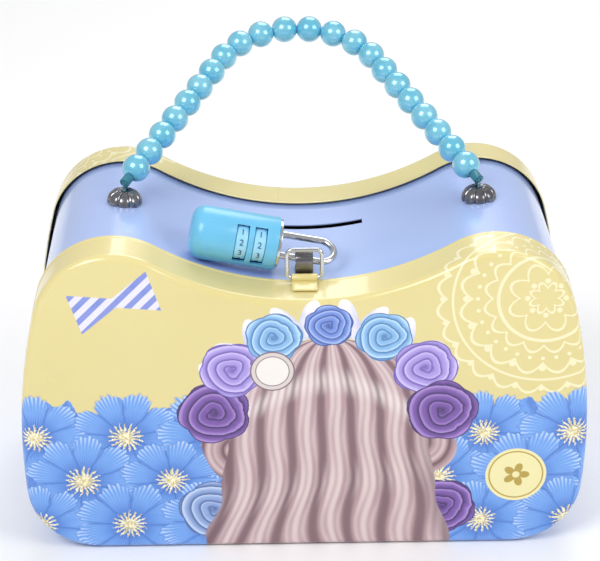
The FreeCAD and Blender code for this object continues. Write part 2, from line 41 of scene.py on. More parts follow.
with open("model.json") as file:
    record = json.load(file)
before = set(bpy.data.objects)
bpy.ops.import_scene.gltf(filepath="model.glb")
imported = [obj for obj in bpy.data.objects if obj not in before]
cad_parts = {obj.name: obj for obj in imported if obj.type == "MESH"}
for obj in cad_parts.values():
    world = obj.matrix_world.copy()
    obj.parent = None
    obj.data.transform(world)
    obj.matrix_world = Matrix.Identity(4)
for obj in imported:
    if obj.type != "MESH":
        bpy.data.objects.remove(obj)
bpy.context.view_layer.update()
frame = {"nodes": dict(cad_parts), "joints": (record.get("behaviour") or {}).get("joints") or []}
MM = 0.001
COVER_LOW, COVER_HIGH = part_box("back_cover")
LID_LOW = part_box("front_lid")[0]
BAND_LOW, BAND_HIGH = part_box("body_band")
HALF_WIDTH = (COVER_HIGH.x - COVER_LOW.x) / 2 / MM
HUMP_TOP = COVER_HIGH.z / MM
FACE_Y = LID_LOW.y / MM
BACK_Y = COVER_HIGH.y / MM
LIP = (COVER_HIGH.y - COVER_LOW.y) / MM
MIDDLE_Y = (FACE_Y + BACK_Y) / 2
FACE_DEPTH = (BACK_Y - FACE_Y) / 2
HAIR_X = HALF_WIDTH * 0.08
HAIR_Z = HUMP_TOP * 0.45
HAIR_HALF = 27.0
WREATH_WIDE = 33.0
WREATH_TALL = 31.0
WREATH_SWEEP = math.radians(85)
LACE_AT = (HALF_WIDTH * 0.82, HUMP_TOP * 0.85)
BOW_AT = (-HALF_WIDTH * 0.65, HUMP_TOP * 0.85)
BADGE_AT = (HALF_WIDTH * 0.75, HUMP_TOP * 0.25)
LOW_ROSE_Z = HUMP_TOP * 0.14
CURL_Z = HUMP_TOP * 0.36
LEAF_LEAN = 28
LEAF_LONG, LEAF_WIDE = 11, 4.6
FIELD_ROWS = 3
FIELD_HALF_COLUMNS = 3
FIELD_PITCH = 26.0
FIELD_TOP = HUMP_TOP * 0.4
FIELD_RISE = HUMP_TOP * 0.155
WRAP_X = 50.0
WRAP_LOW, WRAP_HIGH = 25.0, 70.0


# ---- shader maths ------------------------------------------------------------

def rgb(text):
    """A colour written as six hex digits, made linear."""
    parts = [int(text[i:i + 2], 16) / 255 for i in (0, 2, 4)]
    return tuple(p / 12.92 if p < 0.04045 else ((p + 0.055) / 1.055) ** 2.4 for p in parts) + (1,)


class Signal:
    """A number that varies over a surface. Arithmetic on it adds Math nodes."""

    def __init__(self, kit, socket):
        self.kit = kit
        self.socket = socket

    def math(self, operation, *values):
        return self.kit.node("ShaderNodeMath", {"operation": operation}, dict(enumerate(values)))

    def __add__(self, other):
        return self.math("ADD", self, other)

    def __radd__(self, other):
        return self.math("ADD", other, self)

    def __sub__(self, other):
        return self.math("SUBTRACT", self, other)

    def __rsub__(self, other):
        return self.math("SUBTRACT", other, self)

    def __mul__(self, other):
        return self.math("MULTIPLY", self, other)

    def __rmul__(self, other):
        return self.math("MULTIPLY", other, self)

    def __truediv__(self, other):
        return self.math("DIVIDE", self, other)

    def __rtruediv__(self, other):
        return self.math("DIVIDE", other, self)

    def __pow__(self, other):
        return self.math("POWER", self, other)

    def __neg__(self):
        return self.math("MULTIPLY", self, -1)

    def __abs__(self):
        return self.math("ABSOLUTE", self)

    def most(self, other):
        return self.math("MAXIMUM", self, other)

    def least(self, other):
        return self.math("MINIMUM", self, other)

    def sin(self):
        return self.math("SINE", self)

    def cos(self):
        return self.math("COSINE", self)

    def fract(self):
        return self.math("FRACT", self)

    def root(self):
        return self.math("SQRT", self)

    def edge(self, low, high):
        """Zero below low, one above high and a smooth step between."""
        return self.kit.node("ShaderNodeMapRange", {"interpolation_type": "SMOOTHSTEP"},
                             {"Value": self, "From Min": low, "From Max": high})


class Kit:
    """The nodes of one material, built by hand around its Principled shader."""

    def __init__(self, name, **fixed):
        self.material = bpy.data.materials.new(name)
        self.material.use_nodes = True
        self.tree = self.material.node_tree
        self.shader = self.tree.nodes["Principled BSDF"]
        for socket, value in fixed.items():
            self.shader.inputs[socket.replace("_", " ")].default_value = value
        self.place = self.node("ShaderNodeTexCoord", {}, {}, "Object")

    def node(self, kind, settings, inputs, out=0):
        made = self.tree.nodes.new(kind)
        for key, value in settings.items():
            setattr(made, key, value)
        for key, value in inputs.items():
            socket = made.inputs[key]
            if isinstance(value, Signal):
                self.tree.links.new(value.socket, socket)
            else:
                socket.default_value = value
        return Signal(self, made.outputs[out])

    def mix(self, first, second, factor):
        """A colour between two colours."""
        made = self.tree.nodes.new("ShaderNodeMix")
        made.data_type = "RGBA"
        for index, value in ((0, factor), (6, first), (7, second)):
            if isinstance(value, Signal):
                self.tree.links.new(value.socket, made.inputs[index])
            else:
                made.inputs[index].default_value = value
        return Signal(self, made.outputs[2])

    def noise(self, scale, detail=2.0, stretch=(1, 1, 1)):
        moved = self.node("ShaderNodeMapping", {}, {"Vector": self.place, "Scale": stretch})
        return self.node("ShaderNodeTexNoise", {},
                         {"Vector": moved, "Scale": scale, "Detail": detail})

    def feed(self, socket, value):
        self.tree.links.new(value.socket, self.shader.inputs[socket])

    def bump(self, height, strength, distance):
        self.feed("Normal", self.node("ShaderNodeBump", {}, {
            "Height": height, "Strength": strength, "Distance": distance}))

    def xyz(self):
        """X, Y and Z over the surface, in millimetres."""
        split = self.tree.nodes.new("ShaderNodeSeparateXYZ")
        self.tree.links.new(self.place.socket, split.inputs[0])
        return [Signal(self, split.outputs[i]) * 1000 for i in range(3)]


# ---- the print ---------------------------------------------------------------

PRINT_INPUTS = ("colour", "x", "z", "wobble", "fine")


def layer(draw):
    """Put what a drawing method lays down into a node group of its own."""
    def drawn(self, *args, **kwargs):
        kit, tree, outer = self.kit, self.kit.tree, dict(vars(self))
        group = bpy.data.node_groups.new(draw.__name__, "ShaderNodeTree")
        for name in PRINT_INPUTS:
            kind = "NodeSocketColor" if name == "colour" else "NodeSocketFloat"
            group.interface.new_socket(name, in_out="INPUT", socket_type=kind)
        group.interface.new_socket("over", in_out="OUTPUT", socket_type="NodeSocketColor")
        inputs = group.nodes.new("NodeGroupInput").outputs
        for index, name in enumerate(PRINT_INPUTS):
            setattr(self, name, Signal(kit, inputs[index]))
        kit.tree = group
        draw(self, *args, **kwargs)
        group.links.new(self.colour.socket, group.nodes.new("NodeGroupOutput").inputs[0])
        kit.tree = tree
        vars(self).update(outer)
        node = tree.nodes.new("ShaderNodeGroup")
        node.node_tree = group
        for index, name in enumerate(PRINT_INPUTS):
            value = outer[name]
            if isinstance(value, Signal):
                tree.links.new(value.socket, node.inputs[index])
            else:
                node.inputs[index].default_value = value
        self.colour = Signal(kit, node.outputs[0])
    return drawn


class Print:
    """Flat artwork laid down in layers, in millimetres across and up the cover."""

    def __init__(self, kit, ground):
        self.kit = kit
        self.colour = ground
        x, y, z = self.kit.xyz()
        out_x = x - x.most(-WRAP_X).least(WRAP_X)
        out_z = z - z.most(WRAP_LOW).least(WRAP_HIGH)
        depth = (FACE_DEPTH - abs(y - MIDDLE_Y)) / (out_x * out_x + out_z * out_z + 1).root()
        front = MIDDLE_Y - y
        self.x = (x + out_x * depth) * front.math("SIGN", front)
        self.z = z + out_z * depth
        self.wobble = self.kit.noise(260, 2) - 0.5
        self.fine = self.kit.noise(1400, 2) - 0.5

    def lay(self, colour, mask):
        self.colour = self.kit.mix(self.colour, colour, mask)

    def polar(self, at, squash=1.0, wobble=0.0):
        """Distance from a point and the angle round it."""
        across = self.x - at[0]
        up = (self.z - at[1]) * squash
        if wobble:
            across = across + self.wobble * wobble
        far = (across * across + up * up).root()
        turn = across.math("ARCTAN2", up, across)
        return far, turn

    def turned(self, at, degrees):
        """Coordinates along and across a direction, from a point."""
        c, s = math.cos(math.radians(degrees)), math.sin(math.radians(degrees))
        dx, dz = self.x - at[0], self.z - at[1]
        return dx * c + dz * s, dz * c - dx * s

    @layer
    def petal(self, at, degrees, long, wide, pale, dark):
        """One loose petal, pointed at its foot and round at its tip."""
        along, across = self.turned(at, degrees)
        share = along / long
        width = (share * (1.25 - share)).most(0.0).root() * wide
        inside = (width - abs(across)).edge(0.0, 0.24)
        tint = (abs(across) / wide + self.wobble * 0.8 + (1 - share) * 0.6).edge(0.1, 1.2)
        self.lay(self.kit.mix(pale, dark, tint), inside)

    @layer
    def daisy(self, at, radius, petals, spin, pale, mid, deep):
        """A broad-petalled flower with a frayed yellow eye."""
        far, turn = self.polar(at, 1.08, 2.2)
        beat = ((turn + spin) * (petals / 2)).cos()
        lobe = abs(beat) ** 0.45
        frill = (turn * (petals * 5)).sin() * 0.025 + self.wobble * 0.16
        rim = (0.66 + 0.34 * lobe + frill) * radius
        inside = (rim - far).edge(-0.1, 0.15)
        streak = (turn * (petals * 9) + self.wobble * 9).sin() * 0.5 + 0.5
        share = far / radius
        body = self.kit.mix(mid, pale, (streak * share + self.wobble * 0.7).edge(0.35, 1.0))
        groove = (1 - lobe).edge(0.25, 0.95) * 0.75
        body = self.kit.mix(body, deep, groove)
        throat = (0.5 - share + streak * 0.2).edge(0.0, 0.45)
        body = self.kit.mix(body, deep, throat * 0.85)
        shine = ((share - 0.62) * (streak + 0.2)).edge(0.12, 0.4)
        body = self.kit.mix(body, rgb("D5E4FA"), shine * 0.55)
        fray = (turn * 17 + self.fine * 6).sin() * 0.11 + 0.22
        eye = (fray * radius - far + self.fine * 1.5).edge(-0.2, 0.3)
        crumbs = (self.fine + 0.5).edge(0.35, 0.65)
        body = self.kit.mix(body, self.kit.mix(rgb("CDBE86"), rgb("FBF4CF"), crumbs), eye)
        shadow = (rim + 0.5 - far).edge(-0.3, 0.5) * 0.35
        self.lay(self.kit.mix(rgb("3F6FC4"), body, inside), shadow.most(inside))

    @layer
    def rose(self, at, radius, pale, mid, deep, spin=0.0):
        """A full rose: petals that wind in to its heart, each with a dark fold."""
        far, turn = self.polar(at, 1.05, 1.4)
        scallop = abs(((turn + spin) * 2.5).sin()) * 0.1 + 0.9
        rim = scallop * radius
        inside = (rim - far).edge(-0.12, 0.12)
        share = far / radius
        wind = share * 3.6 - (turn + spin) / math.tau + ((turn + spin) * 3).sin() * 0.13 \
            + self.wobble * 0.35
        fold = wind.fract()
        body = self.kit.mix(deep, mid, fold.edge(0.0, 0.5))
        body = self.kit.mix(body, pale, (fold * (0.55 + share * 0.5)).edge(0.45, 0.9))
        body = self.kit.mix(body, deep, (0.24 - share).edge(0.0, 0.2) * 0.7)
        self.lay(self.kit.mix(deep, body, inside), (rim + 0.35 - far).edge(-0.1, 0.1))

    @layer
    def lace(self, at, colour):
        """A round lace pattern of scalloped rings."""
        far, turn = self.polar(at)
        rings = [(3.0, 2.0, 8, 0.4), (7.6, 3.4, 8, 0.4), (13.6, 0.0, 8, 0.5),
                 (15.2, 2.4, 16, 0.4), (21.0, 3.4, 16, 0.45),
                 (26.4, 0.0, 8, 0.35), (28.2, 2.6, 24, 0.45)]
        drawn = far * 0.0
        for radius, depth, count, wide in rings:
            path = abs((turn * (count / 2)).sin()) * depth + radius
            drawn = drawn.most((wide - abs(far - path)).edge(-0.08, 0.08))
        for radius, count, dot in ((5.4, 8, 0.8), (19.4, 32, 0.6), (22.6, 16, 1.0),
                                   (29.3, 24, 0.8)):
            step = math.tau / count
            local = ((turn / step + 0.5).fract() - 0.5) * step * radius
            off = far - radius
            drawn = drawn.most((dot - (local * local + off * off).root()).edge(-0.1, 0.1))
        self.lay(colour, drawn * 0.85)

    @layer
    def bow(self, at, degrees, colour, pale):
        """A striped bow of two flared loops."""
        along, across = self.turned(at, degrees)
        width = abs(along) * 0.42 + 1.5
        inside = (width - abs(across)).edge(-0.1, 0.1) * (11.8 - abs(along)).edge(-0.1, 0.1)
        stripe = ((self.x * 0.72 - self.z * 0.70) / 3.5).fract()
        shade = self.kit.mix(colour, rgb("5E74C8"), (self.wobble * 2).edge(0, 0.6) * 0.5)
        self.lay(self.kit.mix(shade, pale, (abs(stripe - 0.5) - 0.24).edge(-0.02, 0.02)), inside)

    @layer
    def badge(self, at, radius, colour, mark):
        """A plain round badge with a small five-petalled flower."""
        far, turn = self.polar(at)
        drawn = (abs((turn * 2.5).cos()) * 2.4 + 1.6 - far).edge(-0.1, 0.1)
        drawn = drawn * (far - 1.1).edge(-0.1, 0.1)
        drawn = drawn.most((0.22 - abs(far - radius + 1.1)).edge(-0.06, 0.06))
        self.lay(self.kit.mix(colour, mark, drawn), (radius - far).edge(-0.1, 0.1))

    @layer
    def hair(self, at, pale, mid, deep):
        """Long hair seen from behind, in soft locks that fall from the crown and widen."""
        across = self.x - at[0]
        down = ((at[1] - self.z) / 50).most(0.0)
        crown = (1 - ((self.z - at[1]) / 27).most(0.0) ** 2).most(0.0).root()
        half = (down * down * 9 + 29) * crown
        share = across / half.most(1.0)
        sway = (self.z * 0.13 + abs(share) * 2.4).sin() * (down * 1.6 + 0.1)
        bend = share * 21 + sway
        lock = bend.sin() * 0.5 + 0.5
        strand = (bend * 4 + (self.z * 0.21).sin() * 1.6 + self.wobble).sin() * 0.5 + 0.5
        tip = lock * 1.8 * down
        inside = (half + tip + (self.z * 0.3).sin() * down * 1.4 - abs(across)).edge(-0.2, 0.3)
        body = self.kit.mix(mid, pale, (lock * 0.65 + strand * 0.35).edge(0.3, 1.0))
        body = self.kit.mix(body, deep, (0.34 - lock).edge(0.0, 0.34) * 0.8)
        gloss = (1 - abs(self.z - 57 + share * share * 16) / 6).edge(0.0, 1.0)
        body = self.kit.mix(body, rgb("F0E6E4"), gloss * (strand * 0.5 + 0.2))
        low_gloss = (1 - abs(self.z - 22 - share * 6) / 9).edge(0.0, 1.0)
        body = self.kit.mix(body, rgb("E9DAD6"), low_gloss * strand * 0.3)
        body = self.kit.mix(body, deep, (abs(share) - 0.84).edge(0.0, 0.18) * 0.6)
        self.lay(body, inside)

    @layer
    def curl(self, at, radius, pale, mid, deep, spin=0.0):
        """A coiled lock of hair, its strands following the coil."""
        far, turn = self.polar(at, 0.92)
        share = far / radius
        inside = (radius + (turn * 3 + spin).sin() * 0.7 - far).edge(-0.15, 0.2)
        coil = (share * 1.7 - (turn + spin) / math.tau).fract()
        strand = (coil * 19 + self.wobble).sin() * 0.5 + 0.5
        body = self.kit.mix(deep, mid, coil.edge(0.0, 0.3))
        body = self.kit.mix(body, pale, strand * coil.edge(0.2, 0.6) * 0.75)
        body = self.kit.mix(body, deep, coil.edge(0.86, 1.0) * 0.8)
        self.lay(body, inside)


HAIR = (rgb("DCC7C8"), rgb("B2959A"), rgb("6E4E58"))
BLUE_FLOWER = (rgb("8FB9F2"), rgb("6B9FE8"), rgb("2F62BE"))
LILAC = (rgb("CFC2F4"), rgb("A997E0"), rgb("6A55AE"))
PURPLE = (rgb("A685CE"), rgb("7550A4"), rgb("3C2263"))
SKY_ROSE = (rgb("BBDDF7"), rgb("86B8E6"), rgb("4277B4"))
BLUE_ROSE = (rgb("A4BDF0"), rgb("6F8FDB"), rgb("37519B"))
GREY_ROSE = (rgb("C0D3F0"), rgb("8BA6D8"), rgb("4A659F"))


def field(art):
    """The lower blue flowers, from the farthest to the nearest."""
    base = (49 - art.z + (art.x * 0.33).sin() * 2.2 + (art.x * 0.9).sin() * 1.1
            + art.wobble * 6)
    streak = ((art.x * 0.9 + art.z * 0.5) + art.wobble * 12).sin() * 0.5 + 0.5
    art.lay(art.kit.mix(BLUE_FLOWER[1], BLUE_FLOWER[2], streak * 0.55), base.edge(0, 0.5))
    number = 0
    for row in range(FIELD_ROWS):
        up = FIELD_TOP - FIELD_RISE * row
        for column in range(-FIELD_HALF_COLUMNS, FIELD_HALF_COLUMNS + 1):
            across = (column + 0.5 * (row % 2)) * FIELD_PITCH
            if abs(across) < HALF_WIDTH and abs(across - HAIR_X) > HAIR_HALF:
                art.daisy((across, up), 15 + number % 3, 8 + number % 2, number * 0.83,
                          *BLUE_FLOWER)
                number += 1


def wreath_place(share, reach=1.0):
    """A point on the wreath; share runs from -1 at its left end to 1 at its right."""
    angle = share * WREATH_SWEEP
    return (HAIR_X + WREATH_WIDE * reach * math.sin(angle),
            HAIR_Z + WREATH_TALL * reach * math.cos(angle))


def wreath(art):
    """Roses and white petals round the crown of the hair."""
    white = (rgb("F4F1FA"), rgb("BFC4E2"))
    kinds = (PURPLE, LILAC, SKY_ROSE, BLUE_ROSE, SKY_ROSE, LILAC, PURPLE)
    step = 2 / (len(kinds) - 1)
    for gap in range(len(kinds) - 1):
        share = -1 + step * (gap + 0.5)
        for lean in (-LEAF_LEAN, LEAF_LEAN):
            out = 90 - math.degrees(share * WREATH_SWEEP) + lean
            art.petal(wreath_place(share, 0.88), out, LEAF_LONG, LEAF_WIDE, *white)
    for number, kind in enumerate(kinds):
        share = -1 + step * number
        art.rose(wreath_place(share), 6.8 + 3.6 * abs(share), *kind, spin=number * 0.9)


def coin_charm(art, at):
    """A plain ringed disc among the flowers."""
    far, _ = art.polar(at)
    colour = rgb("EFEAE4")
    for radius, ring in ((4.6, rgb("8C7680")), (4.9, rgb("D9CFCB")), (6.0, rgb("7D6572"))):
        colour = art.kit.mix(colour, ring, (far - radius).edge(-0.08, 0.08))
    art.lay(colour, (6.4 - far).edge(-0.08, 0.08))


def printed_tin(name):
    """The covers' enamel: yellow above, blue flowers below, a wreathed head of hair."""
    kit = Kit(name, Roughness=0.26, Coat_Weight=0.5, Coat_Roughness=0.06)
    art = Print(kit, colour_of("ground"))
    art.lay(rgb("D8C985"), (kit.noise(22, 2) - 0.35).edge(0, 0.4) * 0.35)
    art.lace(LACE_AT, colour_of("lace"))
    art.bow(BOW_AT, 18, rgb("8493DC"), rgb("E6E4F5"))
    field(art)
    art.badge(BADGE_AT, 9.0, rgb("EFE6AC"), rgb("B79C3E"))
    for side, kind in ((1, PURPLE), (-1, GREY_ROSE)):
        art.rose((HAIR_X + side * HAIR_HALF * 1.25, LOW_ROSE_Z), 10.0, *kind, spin=side)
    for side in (-1, 1):
        art.curl((HAIR_X + side * HAIR_HALF, CURL_Z), 10.0, *HAIR, spin=1.4 + side)
    art.hair((HAIR_X, HAIR_Z), *HAIR)
    wreath(art)
    coin_charm(art, wreath_place(-0.5, 0.72))
    kit.feed("Base Color", art.colour)
    kit.feed("Roughness", (kit.noise(90, 3) * 0.10) + 0.20)
    kit.bump(kit.noise(38, 2), 0.10, 0.0006)
    return kit.material


# ---- the other finishes ------------------------------------------------------

def enamel(name, colour, shade):
    """Glossy sprayed enamel with faint orange peel."""
    kit = Kit(name, Coat_Weight=0.6, Coat_Roughness=0.05)
    kit.feed("Base Color", kit.mix(colour, shade, kit.noise(18, 3).edge(0.3, 0.75) * 0.5))
    kit.feed("Roughness", kit.noise(120, 3) * 0.12 + 0.17)
    kit.bump(kit.noise(55, 2), 0.12, 0.0005)
    return kit.material


def pearl(name):
    """Sky-blue pearl: a lustre that drifts to green and violet, under a clear coat."""
    kit = Kit(name, Metallic=0.25, Coat_Weight=1.0, Coat_Roughness=0.04)
    drift = kit.noise(160, 2)
    body = kit.mix(colour_of("beads"), rgb("8FD6EA"), drift.edge(0.3, 0.7))
    kit.feed("Base Color", kit.mix(body, rgb("3F9CC6"), drift * 0.18))
    kit.feed("Roughness", drift * 0.08 + 0.20)
    kit.bump(kit.noise(900, 2), 0.05, 0.0001)
    return kit.material


def steel(name, colour, rough, scratches=0.35):
    """Bright metal with fine scratches and handling marks."""
    kit = Kit(name, Metallic=1.0)
    marks = kit.noise(420, 4, (1, 6, 1))
    stain = kit.noise(90, 3)
    kit.feed("Base Color", kit.mix(colour, tuple(c * 0.55 for c in colour[:3]) + (1,),
                                   stain.edge(0.45, 0.8) * scratches))
    kit.feed("Roughness", marks * 0.18 + rough)
    kit.bump(marks, 0.08, 0.00008)
    return kit.material


def moulded(name, colour, shade, rough=0.28):
    """Moulded gloss plastic, slightly uneven."""
    kit = Kit(name, Coat_Weight=0.25, Coat_Roughness=0.08, Subsurface_Weight=0.08)
    kit.shader.inputs["Subsurface Radius"].default_value = (0.001, 0.0015, 0.002)
    kit.feed("Base Color", kit.mix(colour, shade, kit.noise(140, 2).edge(0.35, 0.7) * 0.4))
    kit.feed("Roughness", kit.noise(500, 3) * 0.12 + rough)
    kit.bump(kit.noise(700, 2), 0.05, 0.0001)
    return kit.material


def twisted(name):
    """Twisted cord: slanted strands along its length."""
    kit = Kit(name)
    x, y, z = kit.xyz()
    strands = ((x + y + z) * 6).sin() * 0.5 + 0.5
    kit.feed("Base Color", kit.mix(rgb("2C5F72"), rgb("6FB3C6"), strands))
    kit.feed("Roughness", strands * 0.1 + 0.6)
    kit.bump(strands, 0.5, 0.0002)
    return kit.material


def finish_of(key):
    """Each finish is made once and shared."""
    makers = {
        "print": lambda: printed_tin("print"),
        "blue_enamel": lambda: enamel("blue enamel", colour_of("band"), shade_of("band")),
        "bare_tin": lambda: steel("bare tin", rgb("C4C6C8"), 0.30),
        "yellow_enamel": lambda: enamel("yellow enamel", colour_of("tab"), shade_of("tab")),
        "pearl": lambda: pearl("pearl"),
        "claw_steel": lambda: steel("claw steel", rgb("8B8B90"), 0.16, 0.8),
        "chrome": lambda: steel("chrome", rgb("D2D4D8"), 0.10, 0.25),
        "zinc": lambda: steel("zinc", rgb("A9ABAE"), 0.32),
        "lock_plastic": lambda: moulded("lock plastic", colour_of("lock"), shade_of("lock", 0.85)),
        "dial_plastic": lambda: moulded("dial plastic", rgb("9AD6F2"), rgb("86C9EC"), 0.35),
        "digit_ink": lambda: moulded("digit ink", rgb("17305E"), rgb("1E3B6E"), 0.4),
        "cord": lambda: twisted("cord"),
        "neck": lambda: moulded("neck", colour_of("neck"), shade_of("neck", 0.8), 0.35),
    }
    if key not in FINISHES:
        FINISHES[key] = makers[key]()
    return FINISHES[key]


FINISHES = {}


# ---- modelling helpers ---------------------------------------------------------

def deselect():
    bpy.ops.object.select_all(action="DESELECT")


def only(piece):
    """Select one piece and make it active."""
    deselect()
    piece.select_set(True)
    bpy.context.view_layer.objects.active = piece


def apply(piece, kind, **settings):
    """Add a modifier with its settings and apply it."""
    only(piece)
    modifier = piece.modifiers.new(kind.title(), kind)
    for key, value in settings.items():
        setattr(modifier, key, value)
    bpy.ops.object.modifier_apply(modifier=modifier.name)


def smooth(piece, degrees=35):
    only(piece)
    bpy.ops.object.shade_smooth_by_angle(angle=math.radians(degrees))


def level(piece):
    """Smooth shading that keeps the broad flat faces flat."""
    only(piece)
    bpy.ops.object.mode_set(mode="EDIT")
    bpy.ops.mesh.select_all(action="SELECT")
    bpy.ops.mesh.dissolve_limited(angle_limit=math.radians(0.05), delimit={"MATERIAL"})
    bpy.ops.object.mode_set(mode="OBJECT")
    smooth(piece)
    apply(piece, "WEIGHTED_NORMAL", keep_sharp=True, weight=100)


def settle(piece):
    """Put the piece's place and turn into its mesh."""
    only(piece)
    bpy.ops.object.transform_apply(location=True, rotation=True, scale=True)


def tidy(piece, reach=1e-6):
    """Merge doubled points and point the faces outwards."""
    only(piece)
    bpy.ops.object.mode_set(mode="EDIT")
    bpy.ops.mesh.select_all(action="SELECT")
    bpy.ops.mesh.remove_doubles(threshold=reach)
    bpy.ops.mesh.normals_make_consistent(inside=False)
    bpy.ops.object.mode_set(mode="OBJECT")


def coat(piece, *keys):
    """Give a piece its finishes, the outer one first."""
    piece.data.materials.clear()
    for key in keys:
        piece.data.materials.append(finish_of(key))


def dress(piece, body, slot, *nodes):
    """Name a piece's body and the nodes that it stands for; the record slot is not used."""
    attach(piece, body)
    if nodes:
        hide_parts(*nodes)
    return piece


def sweep_grid(name, across, along, point):
    """A grid laid over a surface: point(i, j) gives each of its points in millimetres."""
    deselect()
    bpy.ops.mesh.primitive_grid_add(x_subdivisions=across, y_subdivisions=along, size=1)
    piece = bpy.context.object
    piece.name = name
    for v in piece.data.vertices:
        i = round((v.co.x + 0.5) * across)
        j = round((v.co.y + 0.5) * along)
        v.co = Vector(point(i, j)) * MM
    return piece


def cap_ends(piece, at_y):
    """Close the open rim of a piece that lies at a depth with one flat face."""
    only(piece)
    bpy.ops.object.mode_set(mode="EDIT")
    bpy.ops.mesh.select_all(action="DESELECT")
    mesh = bmesh.from_edit_mesh(piece.data)
    for edge in mesh.edges:
        edge.select = edge.is_boundary and all(abs(v.co.y - at_y * MM) < 1e-6 for v in edge.verts)
    bmesh.update_edit_mesh(piece.data)
    bpy.ops.mesh.edge_face_add()
    bpy.ops.object.mode_set(mode="OBJECT")


def refined(node, name, bevel=0.0):
    """A smooth-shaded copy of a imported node, its sharp edges eased."""
    source = frame["nodes"][node]
    piece = bpy.data.objects.new(name, source.data.copy())
    bpy.context.scene.collection.objects.link(piece)
    only(piece)
    bpy.ops.object.mode_set(mode="EDIT")
    bpy.ops.mesh.select_all(action="SELECT")
    bpy.ops.mesh.remove_doubles(threshold=2e-6)
    bpy.ops.mesh.dissolve_limited(angle_limit=math.radians(1))
    bpy.ops.object.mode_set(mode="OBJECT")
    if bevel:
        apply(piece, "BEVEL", width=bevel * MM, segments=2, limit_method="ANGLE",
              angle_limit=math.radians(40), use_clamp_overlap=True)
    smooth(piece)
    return piece


# ---- the outline of the case ---------------------------------------------------

HUMP_R = 22.94
HUMP_INSET = 28.25
BASE_R = 21.0
SIDE_R = 185.9
DIP_R = 83.8
ARC_STEPS = (18, 22, 34, 30)


def outline(inset, base):
    """Points of the closed outline, from the middle of the foot round to it again."""
    hump_r, base_r, side_r, dip_r = HUMP_R - inset, BASE_R - inset, SIDE_R - inset, DIP_R + inset
    hump = Vector((HALF_WIDTH - HUMP_INSET, HUMP_TOP - HUMP_R))
    side_x = HALF_WIDTH - SIDE_R
    side = Vector((side_x, hump.y - math.sqrt((SIDE_R - HUMP_R) ** 2 - (hump.x - side_x) ** 2)))
    low = base + base_r
    corner = Vector((side_x + math.sqrt((side_r - base_r) ** 2 - (side.y - low) ** 2), low))
    dip = Vector((0, hump.y + math.sqrt((dip_r + hump_r) ** 2 - hump.x ** 2)))

    def angle(origin, target):
        return math.atan2(target.y - origin.y, target.x - origin.x)

    knee, shoulder, valley = angle(side, corner), angle(side, hump), angle(hump, dip)
    arcs = [(corner, base_r, -math.pi / 2, knee), (side, side_r, knee, shoulder),
            (hump, hump_r, shoulder, valley), (dip, dip_r, valley - math.pi, -math.pi / 2)]
    half = [Vector((corner.x * i / 10, base)) for i in range(10)]
    for (centre, radius, start, end), steps in zip(arcs, ARC_STEPS):
        for i in range(steps):
            a = start + (end - start) * i / steps
            half.append(centre + Vector((math.cos(a), math.sin(a))) * radius)
    half.append(Vector((0, dip.y - dip_r)))
    return half + [Vector((-p.x, p.y)) for p in reversed(half[:-1])]


def shell(name, profile):
    """A surface that follows the outline; profile lists (inset, base, y) across it."""
    rings = [[(p.x, y, p.y) for p in outline(inset, base)] for inset, base, y in profile]
    return sweep_grid(name, len(profile) - 1, len(rings[0]) - 1, lambda i, j: rings[i][j])


# ---- settings ------------------------------------------------------------------

class MoneyBoxSizes(bpy.types.PropertyGroup):
    """Sizes that a user would change, in millimetres."""
    tin: bpy.props.FloatProperty(name="Tin", description="Thickness of the tin", default=0.33)
    hem: bpy.props.FloatProperty(name="Hem", description="How far the hem stands proud of the lip",
                                 default=0.24)
    hem_long: bpy.props.FloatProperty(name="Hem length", description="Width of the rolled hem",
                                      default=1.2)
    corner: bpy.props.FloatProperty(name="Corner", description="Radius from face to lip",
                                    default=2.15)
    digit: bpy.props.FloatProperty(name="Digit", description="Height of the dials' digits",
                                   default=2.5)


def tint(name, text):
    """A colour setting with its default written as hex digits."""
    return bpy.props.FloatVectorProperty(name=name, description=f"Colour of the {name.lower()}",
                                         subtype="COLOR", size=4, min=0, max=1,
                                         default=rgb(text))


class MoneyBoxColours(bpy.types.PropertyGroup):
    """Colours that a user would change."""
    ground: tint("Covers' ground", "E2D494")
    lace: tint("Lace pattern", "F3EDC6")
    band: tint("Band", "A9BEEF")
    tab: tint("Lid's tab", "DFD08A")
    beads: tint("Beads", "6CC3E0")
    lock: tint("Padlock", "6CC0E8")
    neck: tint("Neck sleeves", "2E7F93")


class MoneyBoxStage(bpy.types.PropertyGroup):
    """How the stage is lit."""
    floor: bpy.props.FloatVectorProperty(name="Floor", description="Colour of the floor",
                                         subtype="COLOR", size=4, default=(0.92, 0.92, 0.93, 1))
    key: bpy.props.FloatProperty(name="Key light", description="Power of the main light",
                                 default=4.6, subtype="POWER")
    sky: bpy.props.FloatProperty(name="Sky", description="Strength of the surrounding light",
                                 default=0.5)


def sizes():
    return bpy.context.scene.money_box_sizes


def colour_of(name):
    return tuple(getattr(bpy.context.scene.money_box_colours, name))


def shade_of(name, share=0.92):
    """A slightly deeper tone of a colour setting."""
    return tuple(part * share for part in colour_of(name)[:3]) + (1,)


# ---- the tin shells --------------------------------------------------------------

def tray_profile(face_y, sign):
    """Across a cover: the hem, the lip and the rounded corner to the flat face."""
    s = sizes()
    rear = [(s.tin, LIP), (0.08, LIP), (0.0, LIP - 0.12), (0.0, LIP - s.hem_long * 0.6),
            (s.hem * 0.5, LIP - s.hem_long * 0.85), (s.hem, LIP - s.hem_long),
            (s.hem, LIP - s.hem_long - 0.3), (s.hem, LIP * 0.5)]
    steps = 8
    turns = [math.pi / 2 * i / steps for i in range(steps + 1)]
    front = [(s.hem + s.corner * (1 - math.cos(a)), s.corner * (1 - math.sin(a))) for a in turns]
    return [(inset, inset, face_y + sign * deep) for inset, deep in rear + front]


